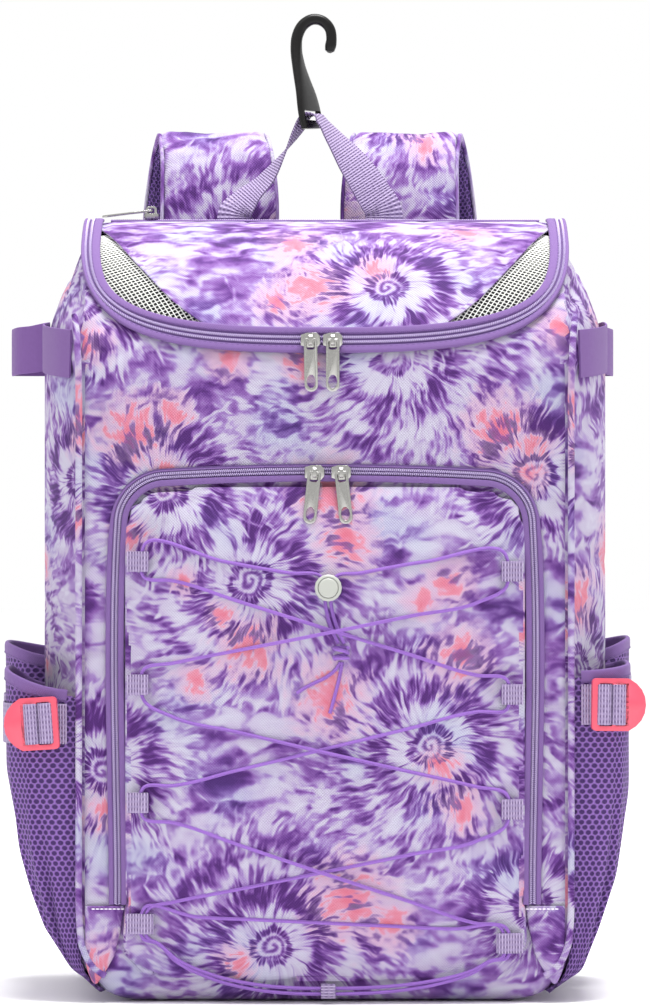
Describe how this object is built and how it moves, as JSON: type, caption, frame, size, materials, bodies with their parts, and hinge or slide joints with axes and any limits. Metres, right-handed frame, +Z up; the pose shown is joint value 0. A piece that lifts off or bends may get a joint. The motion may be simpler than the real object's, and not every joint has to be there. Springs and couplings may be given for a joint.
{
  "type": "baseball bat backpack",
  "caption": "Soft hooded backpack with zipped lid, net vents, laced front pocket, bottle pockets, bat sleeves and loops, padded straps, and a grab handle with a fence hook.",
  "frame": {"origin": "middle of the flat base that the bag stands on", "axes": "+Z up, the front with the laced pocket faces -Y, +X to the right as seen from the front"},
  "size_m": [0.4053, 0.3203, 0.6237],
  "materials": {
    "printed_canvas": "purple, lavender and pink tie-dye print on woven polyester",
    "purple_mesh": "purple air mesh",
    "purple_binding": "purple woven binding",
    "lilac_webbing": "lilac woven webbing",
    "white_net": "white net",
    "zip_coil": "purple nylon coil on woven tape",
    "lace_cord": "braided purple elastic cord",
    "nickel": "satin nickel",
    "pink_plastic": "moulded pink plastic",
    "black_plastic": "moulded black plastic",
    "grey_plastic": "moulded pale grey plastic"
  },
  "bodies": {
    "bag": {"vent_net_left": "white_net", "pocket_gusset_left": "printed_canvas", "piping_left": "printed_canvas", "bottle_pocket_left": "purple_mesh", "bottle_binding_left": "purple_binding", "bat_sleeve_left": "purple_mesh", "sleeve_binding_left": "purple_binding", "side_strap_left": "lilac_webbing", "bat_loop_left": "purple_binding", "side_buckle_left": "pink_plastic", "shoulder_strap_left": "printed_canvas", "strap_tail_left": "lilac_webbing", "strap_adjuster_left": "black_plastic", "lace_loop_left_1": "lilac_webbing", "lace_loop_left_2": "lilac_webbing", "lace_loop_left_3": "lilac_webbing", "lace_loop_left_4": "lilac_webbing", "vent_net_right": "white_net", "pocket_gusset_right": "printed_canvas", "piping_right": "printed_canvas", "bottle_pocket_right": "purple_mesh", "bottle_binding_right": "purple_binding", "bat_sleeve_right": "purple_mesh", "sleeve_binding_right": "purple_binding", "side_strap_right": "lilac_webbing", "bat_loop_right": "purple_binding", "side_buckle_right": "pink_plastic", "shoulder_strap_right": "printed_canvas", "strap_tail_right": "lilac_webbing", "strap_adjuster_right": "black_plastic", "lace_loop_right_1": "lilac_webbing", "lace_loop_right_2": "lilac_webbing", "lace_loop_right_3": "lilac_webbing", "lace_loop_right_4": "lilac_webbing", "body_shell": "printed_canvas", "lid": "printed_canvas", "lid_zip": "zip_coil", "top_zip": "zip_coil", "front_pocket": "printed_canvas", "pocket_zip": "zip_coil", "lace_loop_base": "lilac_webbing", "lace_cord": "lace_cord", "lace_knot": "lace_cord", "cord_lock": "grey_plastic", "back_panel": "purple_mesh", "grab_handle": "lilac_webbing", "fence_hook": "black_plastic", "slider_lid_left": "nickel", "slider_lid_right": "nickel", "slider_pocket_left": "nickel", "slider_pocket_right": "nickel", "slider_top": "nickel"},
    "pull_lid_left": {"pull_lid_left": "nickel"},
    "pull_lid_right": {"pull_lid_right": "nickel"},
    "pull_pocket_left": {"pull_pocket_left": "nickel"},
    "pull_pocket_right": {"pull_pocket_right": "nickel"},
    "pull_top": {"pull_top": "nickel"},
    "lock_button": {"lock_button": "grey_plastic"}
  },
  "joints": [
    {"name": "pull_lid_left_swing", "type": "hinge", "parent": "bag", "child": "pull_lid_left", "pos_m": [-0.009, -0.1059, 0.411], "axis": [-1, 0, 0], "range_deg": [0, 150]},
    {"name": "pull_lid_right_swing", "type": "hinge", "parent": "bag", "child": "pull_lid_right", "pos_m": [0.0048, -0.1059, 0.411], "axis": [-1, 0, 0], "range_deg": [0, 150]},
    {"name": "pull_pocket_left_swing", "type": "hinge", "parent": "bag", "child": "pull_pocket_left", "pos_m": [-0.0065, -0.1088, 0.329], "axis": [-1, 0, 0], "range_deg": [0, 150]},
    {"name": "pull_pocket_right_swing", "type": "hinge", "parent": "bag", "child": "pull_pocket_right", "pos_m": [0.01, -0.1088, 0.329], "axis": [-1, 0, 0], "range_deg": [0, 150]},
    {"name": "pull_top_swing", "type": "hinge", "parent": "bag", "child": "pull_top", "pos_m": [-0.112, 0.065, 0.4958], "axis": [0, 1, 0], "range_deg": [0, 150]},
    {"name": "lock_button_press", "type": "slide", "parent": "bag", "child": "lock_button", "axis": [0, 1, 0], "range_m": [0, 0.0012]}
  ]
}
